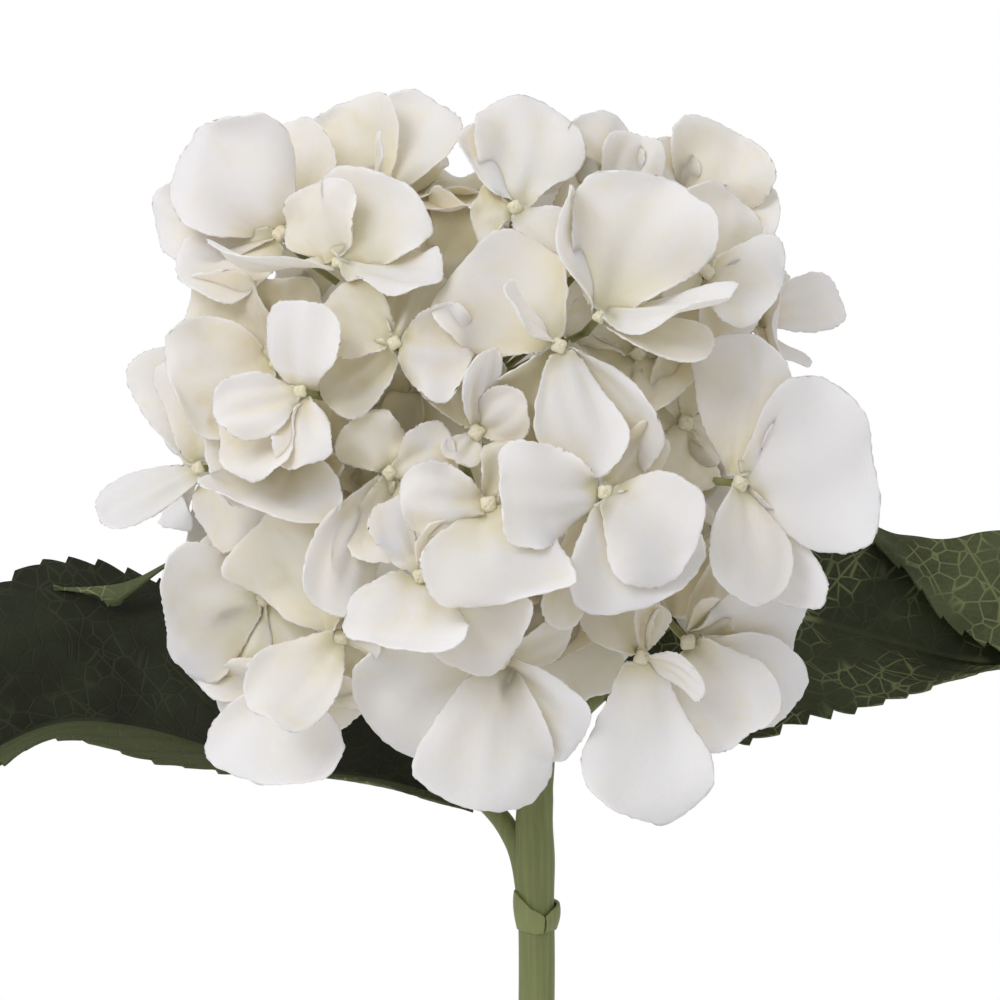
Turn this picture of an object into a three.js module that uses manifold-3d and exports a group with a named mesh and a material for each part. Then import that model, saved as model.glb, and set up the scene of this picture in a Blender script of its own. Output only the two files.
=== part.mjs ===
// A cut hydrangea: one round head of four-sepalled florets on a forked green stem
// with two serrated leaves. Millimetres, +Z up along the stem, origin at the centre
// of the stem's flat cut end, -Y is the side the head faces.

import * as THREE from "three";
import { mergeVertices } from "three/addons/utils/BufferGeometryUtils.js";
import Module from "manifold-3d";

const wasm = await Module();
wasm.setup();

// Driving dimensions.
const STEM_RADIUS = 4.0;
const STEM_TOP = 204;
const COLLAR_LOW = 155.5;
const SEPAL_THICKNESS = 1.0;
const LEAF_THICKNESS = 1.2;
const PEDICEL_LENGTH = 13;
const PEDICEL_RADIUS = 1.0;
const BUD_RADIUS = 2.9;
const CLAW = 1.4;
const FULLER = 1.07;
const WIDEST = 0.6;
const INWARD = 0.88;
const BEND = 0.55;
const TEETH = 24;
const TOOTH_DEPTH = 2.2;
const LIMB_RADIUS = 1.25;
const TWIG_RADIUS = 0.8;
const LIMB_RING = 3.3;
const GAP = 0.45;
const TOLERANCE = 0.2;
const VIEW_DISTANCE = 1100;
const VIEW_TILT = (3 * Math.PI) / 180;
const VIEW_TARGET = new THREE.Vector3(-8.14, 0, 251);
const HEAD_CENTRE = new THREE.Vector3(-9, 6, 261);
const HEAD_RADII = new THREE.Vector3(60, 54, 58);
const FRONT = new THREE.Vector3(0, -1, 0);

// Colours of the sepals, buds, stem and leaves.
const SEPAL = new THREE.MeshStandardMaterial({ color: 0xe6e0d4, roughness: 0.7, metalness: 0 });
const STEM = new THREE.MeshStandardMaterial({ color: 0x73794b, roughness: 0.55, metalness: 0 });
const COLLAR = new THREE.MeshStandardMaterial({ color: 0x7c8350, roughness: 0.55, metalness: 0 });
const BRANCH = new THREE.MeshStandardMaterial({ color: 0x7a753c, roughness: 0.6, metalness: 0 });
const LEAF = new THREE.MeshStandardMaterial({ color: 0x2b2f20, roughness: 0.6, metalness: 0 });

// Florets of the front half, placed as they look from the front: x and z as seen on a plane
// through the target, y the depth. First the heart, then its sepals. A sepal is [x, y, z of its
// tip, width, roll about its own length in degrees, then as shares of its size: curl of the
// tip, cup across, dish along, sideways bow].
const FRONT_FLORETS = [
  [-43.5, -44, 303,
    [-72, -52, 304.5, 19, 62, 0, 0.03, 0.04, 0], [-50, -42, 321, 19, -30, 0, 0.1, 0.04, 0],
    [-31, -44, 321, 24, 0, 0, 0.13, 0.06, 0], [-21, -56, 300, 17, -35, 0, 0.1, 0.02, 0]],
  [-31, -54, 285.5,
    [-14, -57, 282, 20.5, 0, 0, 0.1, -0.04, 0], [-24, -45, 303, 13, 15, 0, 0.1, 0.05, 0],
    [-48, -50, 294, 17, 0, 0, 0.14, 0.05, 0], [-46, -48, 274, 16, 0, 0.05, 0.1, 0.08, 0]],
  [-52, -56, 275,
    [-50, -60, 295, 17, 0, 0, 0.05, -0.06, 0], [-71, -62, 270, 13, 0, 0, 0.1, -0.03, 0],
    [-51, -64, 258, 13, 0, 0, 0.05, -0.05, 0], [-69, -54, 259, 20, 25, 0.05, 0.18, 0.1, 0]],
  [-54, -42, 263,
    [-61, -54, 247, 27, 0, 0.05, 0.15, 0.05, 0], [-48, -46, 250, 18, 0, 0, 0.1, 0.04, 0],
    [-73, -44, 258, 18, 0, 0, 0.1, 0.05, 0], [-45, -38, 276, 16, 0, 0, 0.1, 0.05, 0]],
  [-57, -42, 281,
    [-82, -48, 277, 24, 0, 0, 0.13, 0.08, 0], [-75, -32, 297, 18, -15, 0, 0.1, 0.05, 0],
    [-56, -38, 301, 19, 0, 0, 0.1, 0.05, 0], [-60, -48, 262, 18, 0, 0, 0.1, 0.05, 0]],
  [-74, -22, 258,
    [-97, -26, 246, 15, 14, 0, 0.08, 0.02, -0.04], [-86, -12, 284, 18, 25, 0, 0.15, 0.1, -0.08],
    [-80, -24, 282, 16, 10, 0, 0.1, 0.06, -0.06], [-62, -38, 243, 20, -10, 0, 0.13, 0.06, 0]],
  [-43, -48, 221.5,
    [-61, -42, 247, 26, -15, 0, 0.2, 0.1, 0], [-62, -60, 202, 17, 0, 0.04, 0.1, -0.02, 0],
    [-35, -54, 219, 9, 30, 0, 0.1, 0.05, 0], [-30, -40, 228, 14, 0, 0, 0.1, 0.04, 0]],
  [-60, -32, 230,
    [-84, -34, 226, 29, 0, 0, 0.1, 0.04, 0.03], [-75, -28, 209, 17, 0, 0, 0.1, 0.04, 0],
    [-68, -22, 247, 18, 0, 0, 0.1, 0.04, 0], [-47, -36, 212, 18, 0, 0, 0.1, 0.04, 0]],
  [-25.5, -60, 234.5,
    [-33, -72, 217, 26, 8, 0, 0.12, -0.04, 0.04], [-33.5, -56, 252, 12.5, 0, 0, 0.1, 0.04, 0],
    [-19.5, -64, 247, 9, 35, 0, 0.1, 0.05, 0], [-2, -64, 219, 23, 0, 0, 0.1, -0.02, 0]],
  [-8, -54, 216,
    [-12, -60, 182, 26.5, 0, 0, 0.08, -0.05, 0], [8.5, -54, 196.5, 17, 0, 0, 0.1, -0.03, 0],
    [-37, -42, 202, 25, 0, 0, 0.12, 0.05, 0], [8, -46, 223, 12, 20, 0, 0.1, 0.04, 0]],
  [-10.5, -62, 250,
    [-30, -66, 251.5, 14.5, 0, 0, 0.1, -0.04, 0], [-7, -72, 226.5, 31, 0, 0, 0.1, -0.1, 0],
    [-4, -58, 263, 13, 0, 0, 0.1, 0.05, 0], [5, -58, 246, 15, 0, 0, 0.1, 0.04, 0]],
  [15, -62, 253,
    [-10.5, -70, 254, 21, 0, 0, 0.08, -0.05, 0], [35, -68, 240, 23, 0, 0, 0.1, -0.06, 0],
    [27, -62, 228.5, 28, 0, 0, 0.12, -0.02, 0], [4, -56, 222.5, 12, -25, 0, 0.1, 0.06, 0],
    [27, -56, 267, 11, 0, 0, 0.1, 0.05, 0]],
  [44, -46, 255,
    [44, -44, 289, 20, -58, 0, 0.08, 0.06, 0.03], [75, -50, 263, 35, 0, 0, 0.08, 0.02, 0],
    [63, -44, 228.5, 13, 25, 0, 0.12, 0.06, -0.05], [46, -58, 229, 19, 0, 0, 0.1, -0.04, 0]],
  [4.5, -58, 285,
    [-17, -50, 304, 28, 0, 0, 0.12, 0.07, 0], [-8, -64, 297.5, 9, 60, 0, 0.1, 0.04, 0.05],
    [-7, -52, 261, 18, 0, 0, 0.12, 0.07, 0], [13, -62, 256.5, 17, 0, 0, 0.08, -0.05, 0],
    [24.5, -58, 257, 14, 20, 0, 0.12, 0.05, 0.08]],
  [13.5, -54, 291,
    [8, -52, 320.5, 18, 58, 0, 0.08, 0.05, 0], [29, -52, 321, 28, 0, 0, 0.13, 0.08, 0],
    [45, -62, 295, 17, -45, 0, 0.05, 0.02, 0], [40, -56, 284.5, 12, -20, 0, 0.1, 0.02, 0]],
  [33, -14, 315,
    [45, -8, 332, 23, 0, 0, 0.15, 0.1, 0], [53, -12, 308, 22, 0, 0, 0.13, 0.06, 0],
    [26, -12, 331.5, 13, 0, 0, 0.1, 0.05, 0], [20, -18, 306, 16, 0, 0, 0.1, 0.05, 0]],
  [37, -34, 301,
    [53.5, -38, 296, 23, 0, 0, 0.1, 0.05, 0], [42, -28, 319, 19, 0, 0, 0.13, 0.07, 0],
    [44, -32, 285, 16, 0, 0, 0.1, 0.05, 0], [26, -36, 300, 14, 0, 0, 0.1, 0.05, 0]],
  [-5, -38, 315,
    [0, -22, 339.5, 22, 0, 0, 0.13, 0.06, 0], [10, -48, 302, 15, 0, 0, 0.1, -0.04, 0.06],
    [-13.5, -24, 334.5, 12, 35, 0, 0.1, 0.05, 0], [-14, -34, 312, 15, 0, 0, 0.1, 0.05, 0]],
  [-35.5, -22, 318,
    [-43, -14, 339.5, 21, 0, 0, 0.15, 0.1, 0], [-21, -12, 339, 22, 0, 0, 0.12, 0.05, 0],
    [-34.5, -38, 331, 7.5, 0, 0, 0.05, 0.02, 0], [-14, -12, 319, 18, -35, 0, 0.1, 0.05, 0]],
  [-56, -30, 309,
    [-73, -34, 334, 26, 0, 0, 0.08, -0.03, 0], [-53, -20, 335, 19, 0, 0, 0.12, 0.06, 0],
    [-84, -24, 316, 18, 0, 0, 0.1, 0.04, 0], [-77, -36, 297, 19, 0, 0, 0.1, 0.04, 0]],
  [17, -26, 314,
    [12.5, -18, 336, 17, 0, 0, 0.12, 0.06, 0], [24, -18, 332, 13, 0, 0, 0.1, 0.05, 0],
    [6, -26, 322, 15, 0, 0, 0.1, 0.05, 0], [20, -34, 298, 14, 0, 0, 0.1, 0.05, 0]],
  [23, -46, 217,
    [21, -54, 179.5, 25, 0, 0, 0.08, -0.04, 0], [16, -38, 231, 17, 0, 0, 0.1, 0.05, 0],
    [37, -54, 208, 9, 35, 0, 0.1, 0.05, 0.06], [26, -42, 229, 8, 0, 0, 0.1, 0.05, 0]],
  [33, -36, 220,
    [48, -44, 198, 21, 0, 0, 0.14, 0.07, 0], [42, -36, 227, 12, 0, 0, 0.1, 0.05, 0],
    [58, -26, 203, 19, 0, 0, 0.1, 0.04, 0], [58, -28, 228, 23, 0, 0, 0.12, 0.05, 0],
    [43, -24, 239, 15, 0, 0, 0.1, 0.05, 0]],
  [46, 4, 291,
    [68.5, 6, 294.5, 14, 0, 0, 0.1, 0.03, 0], [58, -6, 280, 14, 0, 0, 0.1, 0.04, 0],
    [50, 4, 305, 14, 0, 0, 0.1, 0.04, 0], [40, 4, 276, 14, 0, 0, 0.1, 0.04, 0]],
  [32, -32, 268,
    [33, -34, 286, 14, 0, 0, 0.12, 0.07, 0], [30, -38, 253, 16, 0, 0, 0.12, 0.07, 0],
    [42, -30, 263, 13, 0, 0, 0.1, 0.05, 0], [20, -32, 273, 14, 0, 0, 0.1, 0.05, 0]],
  [-13, -54, 266,
    [-19, -50, 285, 14, 0, 0, 0.12, 0.07, 0], [-9, -62, 284.5, 9, 50, 0, 0.1, 0.04, 0.04],
    [-2.5, -60, 273, 11.5, 0, 0, 0.08, -0.04, 0], [-18.5, -60, 259.5, 8, 0, 0, 0.1, 0.04, 0]],
  [-32, -52, 257,
    [-18, -58, 262, 13, 0, 0, 0.1, -0.02, 0], [-46, -54, 225.5, 15, -15, 0, 0.12, 0.05, -0.06],
    [-40, -50, 269, 14, 0, 0, 0.1, 0.05, 0], [-34, -56, 236, 14, 0, 0, 0.12, 0.04, 0]],
  [-53, -36, 211,
    [-58, -44, 188, 30, 0, 0, 0.1, -0.05, 0], [-70, -28, 206, 16, 0, 0, 0.1, 0.05, 0],
    [-40, -30, 203, 16, 0, 0, 0.1, 0.05, 0], [-50, -26, 226, 16, 0, 0, 0.1, 0.05, 0],
    [-35, -34, 218, 20, 0, 0, 0.1, 0.04, 0]],
  [-26, -24, 300,
    [-11, -28, 311, 22, 0, 0, 0.12, 0.08, 0], [-35, -18, 316, 19, 0, 0, 0.1, 0.05, 0],
    [-12, -34, 288, 22, 0, 0, 0.1, 0.05, 0], [-42, -30, 288, 20, 0, 0, 0.1, 0.05, 0]],
  [-38, -26, 252,
    [-48, -30, 240, 22, 0, 0, 0.1, 0.05, 0], [-30, -32, 272, 22, 0, 0, 0.1, 0.05, 0],
    [-20, -34, 246, 22, 0, 0, 0.1, 0.05, 0], [-52, -24, 262, 16, 0, 0, 0.1, 0.05, 0]],
  [24, -28, 240,
    [38, -26, 234, 20, 0, 0, 0.1, 0.05, 0], [18, -30, 222, 20, 0, 0, 0.1, 0.05, 0],
    [12, -36, 250, 18, 0, 0, 0.1, 0.05, 0], [34, -28, 254, 20, 0, 0, 0.1, 0.05, 0]],
  [-26, -32, 277,
    [-13, -36, 290, 23, 0, 0, 0.1, 0.05, 0], [-40, -34, 285, 22, 0, 0, 0.1, 0.05, 0],
    [-18, -38, 262, 23, 0, 0, 0.1, 0.05, 0], [-39, -36, 266, 20, 0, 0, 0.1, 0.05, 0]],
  [22, -32, 283,
    [11, -36, 274, 22, 0, 0, 0.1, 0.05, 0], [33, -36, 275, 22, 0, 0, 0.1, 0.05, 0],
    [31, -28, 297, 22, 0, 0, 0.1, 0.05, 0], [12, -28, 297, 22, 0, 0, 0.1, 0.05, 0]],
  [3, -32, 232,
    [-9, -40, 240, 22, 0, 0, 0.1, 0.05, 0], [14, -36, 222, 22, 0, 0, 0.1, 0.05, 0],
    [-5, -36, 218, 22, 0, 0, 0.1, 0.05, 0], [15, -36, 241, 20, 0, 0, 0.1, 0.05, 0],
    [10, -40, 206, 24, 0, 0, 0.1, 0.04, 0]],
];

// Florets of the sides, top and back, as [azimuth from the back, elevation, sepal length].
const ROUND_FLORETS = [
  [178, 80, 28], [-100, 54, 32], [-40, 46, 31], [20, 48, 31], [80, 52, 31],
  [-92, 12, 34], [-50, 10, 34], [-8, 8, 32], [34, 10, 32], [80, 12, 33],
  [-64, -26, 29], [-12, -27, 30], [42, -26, 30],
];

// Points where the head's limbs divide into twigs.
const FORKS = [
  [-34, -4, 242], [14, -4, 242], [-12, -6, 276], [-20, 26, 268], [14, 24, 264],
];

function vec(values) {
  return new THREE.Vector3(values[0], values[1], values[2]);
}

// The true place, to half a millimetre, of what shows at x and z from the front at depth y.
function seen([x, y, z]) {
  const away = new THREE.Vector3(0, -Math.cos(VIEW_TILT), Math.sin(VIEW_TILT));
  const eye = VIEW_TARGET.clone().addScaledVector(away, VIEW_DISTANCE);
  const rise = z - VIEW_TARGET.z;
  const level = VIEW_TARGET.z + rise * Math.cos(VIEW_TILT);
  const ray = new THREE.Vector3(x, rise * Math.sin(VIEW_TILT), level).sub(eye);
  const place = eye.clone().addScaledVector(ray, (y - eye.y) / ray.y);
  return place.multiplyScalar(2).round().divideScalar(2);
}

// A repeatable number from 0 to 1 for a pair of whole numbers.
function chance(a, b) {
  const s = Math.sin(a * 12.9898 + b * 78.233) * 43758.5453;
  return s - Math.floor(s);
}

function solidOf(geometry) {
  const bare = geometry.clone();
  bare.deleteAttribute("normal");
  bare.deleteAttribute("uv");
  const merged = mergeVertices(bare, 1e-4);
  const vertProperties = new Float32Array(merged.attributes.position.array);
  const triVerts = new Uint32Array(merged.index.array);
  return new wasm.Manifold(new wasm.Mesh({ numProp: 3, vertProperties, triVerts }));
}

function geometryOf(solid) {
  const mesh = solid.getMesh();
  const geometry = new THREE.BufferGeometry();
  geometry.setAttribute("position", new THREE.BufferAttribute(mesh.vertProperties, 3));
  geometry.setIndex(new THREE.BufferAttribute(mesh.triVerts, 1));
  geometry.computeVertexNormals();
  return geometry;
}

// A thin closed plate whose middle surface is surface(u, v), u 0..1 along and v -1..1 across.
function sheet(surface, thickness, across, along) {
  const box = new THREE.BoxGeometry(2, 1, 1, across, along, 1);
  const place = box.attributes.position;
  const step = 0.01;
  for (let i = 0; i < place.count; i += 1) {
    const v = place.getX(i);
    const u = place.getY(i) + 0.5;
    const side = place.getZ(i) * thickness;
    const point = surface(u, v);
    const du = surface(Math.min(1, u + step), v).sub(surface(Math.max(0, u - step), v));
    const dv = surface(u, Math.min(1, v + step)).sub(surface(u, Math.max(-1, v - step)));
    const normal = dv.cross(du).normalize();
    point.addScaledVector(normal, side);
    place.setXYZ(i, point.x, point.y, point.z);
  }
  return solidOf(box);
}

// A closed rod along a curve, its radius given by radius(t).
function rod(points, radius, sides, steps) {
  const curve = new THREE.CatmullRomCurve3(points);
  const frames = curve.computeFrenetFrames(steps, false);
  const body = new THREE.CylinderGeometry(1, 1, 1, sides, steps);
  const place = body.attributes.position;
  for (let i = 0; i < place.count; i += 1) {
    const t = place.getY(i) + 0.5;
    const k = Math.round(t * steps);
    const r = radius(t);
    const point = curve.getPointAt(t);
    point.addScaledVector(frames.normals[k], place.getX(i) * r);
    point.addScaledVector(frames.binormals[k], -place.getZ(i) * r);
    place.setXYZ(i, point.x, point.y, point.z);
  }
  const solid = solidOf(body);
  if (solid.volume() > 0) {
    return solid;
  }
  const index = body.index.array;
  for (let i = 0; i < index.length; i += 3) {
    const first = index[i];
    index[i] = index[i + 1];
    index[i + 1] = first;
  }
  return solidOf(body);
}

// Half width of a sepal, as a share of its widest, from its narrow claw to its round tip.
function outline(u) {
  if (u < WIDEST) {
    return 0.24 + 0.76 * Math.pow(Math.sin((Math.PI / 2) * (u / WIDEST)), 0.9);
  }
  return Math.max(0.34, Math.sqrt(1 - Math.pow((u - WIDEST) / (1 - WIDEST), 2.2)));
}

// One cupped sepal: a plate that springs from the floret's centre.
function sepal(centre, facing, spec, rows, grow) {
  const reach = vec(spec);
  const length = reach.length();
  const along = reach.clone().normalize();
  const [, , , wide, turned, curl, cup, dish, bow] = spec;
  const width = wide * FULLER + 2 * grow;
  const roll = (turned * Math.PI) / 180;
  const normal = facing.clone().addScaledVector(along, -facing.dot(along));
  normal.normalize().applyAxisAngle(along, roll);
  const side = normal.clone().cross(along);
  const surface = (u, v) => {
    const arch = Math.sin(Math.PI * u);
    const run = CLAW - grow + (length - CLAW + 2 * grow) * u;
    const half = outline(u) * width * 0.5;
    const lift = -dish * length * arch + curl * length * u * u * u;
    const raised = cup * width * v * v * outline(u) * (1 - 0.5 * u);
    const point = centre.clone().addScaledVector(along, run);
    point.addScaledVector(side, half * v + bow * length * arch);
    return point.addScaledVector(normal, lift + raised);
  };
  return sheet(surface, SEPAL_THICKNESS + 2 * grow, 2, rows);
}

// Where a floret's own stalk ends, a little way into the head behind its heart.
function stalkEnd(floret, extra) {
  const back = floret.fork.clone().sub(floret.centre).normalize();
  back.multiplyScalar(1 - INWARD).addScaledVector(floret.facing, -INWARD).normalize();
  return floret.centre.clone().addScaledVector(back, PEDICEL_LENGTH + extra);
}

function floretSolid(floret, grow) {
  const foot = stalkEnd(floret, grow);
  const heart = floret.centre.clone().addScaledVector(floret.facing, 0.8);
  const stalk = rod([heart, foot], () => PEDICEL_RADIUS + grow, 3, 1);
  const knob = new THREE.OctahedronGeometry(BUD_RADIUS + grow, 0);
  knob.translate(heart.x, heart.y, heart.z);
  let solid = solidOf(knob).add(stalk);
  for (const spec of floret.sepals) {
    solid = solid.add(sepal(floret.centre, floret.facing, spec, floret.rows, grow));
  }
  return solid;
}

function nearestFork(point) {
  let best = vec(FORKS[0]);
  for (const fork of FORKS) {
    if (vec(fork).distanceTo(point) < best.distanceTo(point)) {
      best = vec(fork);
    }
  }
  return best;
}

function outward(point) {
  const away = point.clone().sub(HEAD_CENTRE);
  return away.divide(HEAD_RADII).divide(HEAD_RADII).normalize();
}

function listFlorets() {
  const florets = [];
  for (const [x, y, z, ...tips] of FRONT_FLORETS) {
    const centre = seen([x, y, z]);
    const sepals = tips.map(([tipX, tipY, tipZ, ...shape]) => {
      const reach = seen([tipX, tipY, tipZ]).sub(centre);
      return [reach.x, reach.y, reach.z, ...shape];
    });
    const facing = outward(centre).multiplyScalar(0.6).addScaledVector(FRONT, 0.4).normalize();
    florets.push({ centre, facing, sepals, rows: y < -44 ? 3 : 2 });
  }
  ROUND_FLORETS.forEach(([azimuth, elevation, length], n) => {
    const a = (azimuth * Math.PI) / 180;
    const e = (elevation * Math.PI) / 180;
    const way = new THREE.Vector3(Math.sin(a) * Math.cos(e), Math.cos(a) * Math.cos(e), Math.sin(e));
    const centre = HEAD_CENTRE.clone().add(way.multiply(HEAD_RADII));
    const facing = outward(centre);
    const level = facing.clone().cross(new THREE.Vector3(0.13, 0.21, 0.97)).normalize();
    const steep = facing.clone().cross(level);
    const sepals = [];
    for (let k = 0; k < 4; k += 1) {
      const turn = (k + 0.5 + 0.7 * chance(n, 9)) * (Math.PI / 2) + 0.35 * (chance(n, k) - 0.5);
      const reach = level.clone().multiplyScalar(Math.cos(turn)).addScaledVector(steep, Math.sin(turn));
      reach.addScaledVector(facing, -0.2 + 0.45 * chance(n + 40, k));
      reach.normalize().multiplyScalar(length * (0.88 + 0.2 * chance(n + 20, k)));
      const width = length * (0.74 + 0.14 * chance(n + 60, k));
      const roll = 28 * (chance(n + 80, k) - 0.5);
      const dish = 0.14 * chance(n + 7, k) - 0.06;
      sepals.push([reach.x, reach.y, reach.z, width, roll, 0, 0.1, dish, 0]);
    }
    florets.push({ centre, facing, sepals, rows: 2 });
  });
  for (const floret of florets) {
    floret.fork = nearestFork(floret.centre);
  }
  return florets;
}

// A leaf blade lofted between rails that all run from base to tip: its front edge, its
// midrib, the crest where its back half arches or folds over, and its back margin.
function leafSurface(rails, grow) {
  const curve = (points) => new THREE.CatmullRomCurve3(points.map(seen), false, "catmullrom", 0.5);
  const front = curve(rails.front);
  const rib = curve(rails.rib);
  const margin = curve(rails.margin);
  const crest = rails.crest ? curve(rails.crest) : null;
  const arched = (u) => {
    if (crest) {
      return crest.getPoint(u);
    }
    const top = rib.getPoint(u).lerp(margin.getPoint(u), BEND);
    return top.add(new THREE.Vector3(0, -2.4, 1.8).multiplyScalar(Math.sin(Math.PI * u)));
  };
  return (u, v) => {
    const middle = rib.getPoint(u);
    const point = middle.clone();
    const root = middle.clone();
    if (v < 0) {
      point.lerp(front.getPoint(u), -v);
    } else {
      const top = arched(u);
      root.copy(top);
      const outer = top.clone().lerp(margin.getPoint(u), (v - BEND) / (1 - BEND));
      point.lerp(top, v / BEND).lerp(outer, 0.5 * (1 + Math.tanh((v - BEND) / 0.07)));
    }
    const room = point.distanceTo(root);
    if (Math.abs(v) < 0.98 || room < 0.5) {
      return point;
    }
    if (grow > 0) {
      return point.lerp(root, -grow / room);
    }
    const tooth = Math.round(u * 2 * TEETH) % 2;
    return point.lerp(root, tooth * Math.min(0.25, TOOTH_DEPTH / room) * Math.min(1, room / 12));
  };
}

function largest(solid) {
  let best = null;
  for (const piece of solid.decompose()) {
    if (best === null || piece.volume() > best.volume()) {
      best = piece;
    }
  }
  return best;
}

const root = new THREE.Group();
root.name = "hydrangea";
const placed = [];

function apart(one, other) {
  const a = one.boundingBox();
  const b = other.boundingBox();
  for (let k = 0; k < 3; k += 1) {
    if (a.max[k] < b.min[k] || b.max[k] < a.min[k]) {
      return true;
    }
  }
  return false;
}

// Adds a piece after cutting the clearance of every earlier piece out of it.
function addPiece(name, material, solid, clearance) {
  let kept = solid;
  for (const earlier of placed) {
    if (!apart(kept, earlier)) {
      kept = kept.subtract(earlier);
    }
  }
  kept = largest(largest(kept).simplify(TOLERANCE));
  placed.push(clearance);
  const mesh = new THREE.Mesh(geometryOf(kept), material);
  mesh.name = name;
  root.add(mesh);
}

// Stem: straight below the collar, a little bent above it, with a node where the leaves leave.
function stemSolid(grow) {
  const points = [
    [0, 0, 0], [0, 0, 60], [-0.2, 0, 120], [0, 0, 150], [-0.4, 0, 168],
    [-0.6, 0, 180], [0.2, 0.5, 192], [0.8, 1, STEM_TOP],
  ].map(vec);
  const radius = (t) => {
    const z = t * STEM_TOP;
    const swell = Math.exp(-Math.pow((z - 172) / 7, 2));
    return STEM_RADIUS + grow + 0.5 * swell + (z > 186 ? -0.3 : 0);
  };
  return rod(points, radius, 12, 16);
}

// One rounded scale round the stem from one angle to another, its top edge sloping between
// two heights, so that a pair of them leaves a notch where they meet at the front.
function collarScale(from, to, highFrom, highTo, grow) {
  const surface = (u, v) => {
    const share = (v + 1) / 2;
    const angle = THREE.MathUtils.lerp(from - grow / 5, to + grow / 5, share);
    const low = COLLAR_LOW - grow;
    const high = THREE.MathUtils.lerp(highFrom, highTo, share) + grow;
    const flare = STEM_RADIUS + 0.85 * Math.sin(Math.PI * 0.72 * u);
    const z = low + 0.7 * Math.abs(Math.cos(angle)) * (1 - u) + (high - low) * u;
    return new THREE.Vector3(Math.cos(angle) * flare, Math.sin(angle) * flare, z);
  };
  return sheet(surface, 0.9 + 2 * grow, 10, 3);
}

addPiece(
  "collar_scale_front", COLLAR,
  collarScale(-3.75, -1.25, 165, 160.4, 0), collarScale(-3.75, -1.25, 165, 160.4, GAP),
);
addPiece(
  "collar_scale_back", COLLAR,
  collarScale(-1.12, 2.4, 160.6, 164, 0), collarScale(-1.12, 2.4, 160.6, 164, GAP),
);
// The stem is cut back under the two scales.
addPiece("stem", STEM, stemSolid(0), stemSolid(GAP));

const LEFT_LEAF = {
  rib: [
    [-14, 9, 184], [-33, 21, 189.3], [-52, 29, 191.6], [-70, 34, 196], [-88, 36, 201],
    [-105, 33, 201.8], [-120, 26, 195.8], [-134, 19, 187], [-148, 12, 179], [-160, 6, 173],
  ],
  front: [
    [-14, 5.5, 183], [-33, 10, 187.8], [-52, 12, 190], [-70, 13, 191.6], [-88, 14, 194.4],
    [-105, 14, 197.7], [-120, 10, 191.4], [-134, 8, 182.5], [-148, 5.5, 176], [-160, 5, 172.3],
  ],
  margin: [
    [-14, 12, 187], [-33, 42, 209], [-52, 55, 222], [-70, 60, 230], [-88, 60, 235.5],
    [-104, 57, 238], [-119, 50, 233.5], [-135, 37, 220], [-150, 22, 200], [-160.5, 7, 175],
  ],
};
const RIGHT_LEAF = {
  rib: [
    [15, 14, 207.5], [30, 26, 216], [45, 35, 222.5], [57, 38, 224.8], [68, 40, 222.4],
    [80, 40, 218.8], [92, 39, 216], [104, 37, 214.3], [118, 32, 212], [132, 26, 209],
    [147, 17, 205], [160, 10, 201],
  ],
  front: [
    [15, 10, 206.3], [30, 14, 203.5], [44, 18, 196.5], [57, 20, 200.5], [68, 21.5, 203.6],
    [80, 22, 207.6], [92, 21, 211.2], [104, 20, 214], [118, 18, 213], [132, 15, 210],
    [147, 11.5, 205.5], [160, 9, 200],
  ],
  crest: [
    [15, 16.5, 209.5], [30, 34, 225], [45, 45, 236], [57, 50, 241.5], [68, 52, 246.8],
    [80, 51, 243], [92, 48, 242.3], [104, 44, 244.4], [118, 38, 242], [132, 30, 234],
    [147, 20, 220], [160, 11, 203.5],
  ],
  margin: [
    [15, 18, 210.5], [30, 38, 229], [45, 50, 242], [57, 55, 247], [67.5, 50, 245.5], [80, 42, 235],
    [91, 34, 223], [103, 29, 216.9], [117, 25, 215.3], [131, 20, 213], [146, 17, 214],
    [160, 11.5, 205],
  ],
};
const LEFT_STALK = [
  [-2.4, 0.2, 164.5], [-3.3, 0.6, 172.5], [-5.7, 1.8, 177], [-8.3, 4, 181.3], [-13.8, 9, 185.2],
];
const RIGHT_STALK = [[3.2, 1.4, 197], [6.5, 5, 201], [10.5, 9.5, 204.8], [15.4, 14.4, 208]];

function stalk(points, grow) {
  return rod(points.map(vec), (t) => 2.35 - 0.35 * t * t + grow, 8, 6);
}

addPiece("petiole_left", STEM, stalk(LEFT_STALK, 0), stalk(LEFT_STALK, GAP));
addPiece("petiole_right", STEM, stalk(RIGHT_STALK, 0), stalk(RIGHT_STALK, GAP));

function addLeaf(name, rails) {
  const solid = sheet(leafSurface(rails, 0), LEAF_THICKNESS, 8, 2 * TEETH);
  const wide = sheet(leafSurface(rails, 2 * GAP), LEAF_THICKNESS + 3 * GAP, 8, TEETH);
  addPiece(name, LEAF, solid, wide);
}

addLeaf("leaf_left", LEFT_LEAF);
addLeaf("leaf_right", RIGHT_LEAF);

const florets = listFlorets();
florets.forEach((floret, n) => {
  const name = `floret_${String(n + 1).padStart(2, "0")}`;
  addPiece(name, SEPAL, floretSolid(floret, 0), floretSolid(floret, GAP));
});

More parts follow.
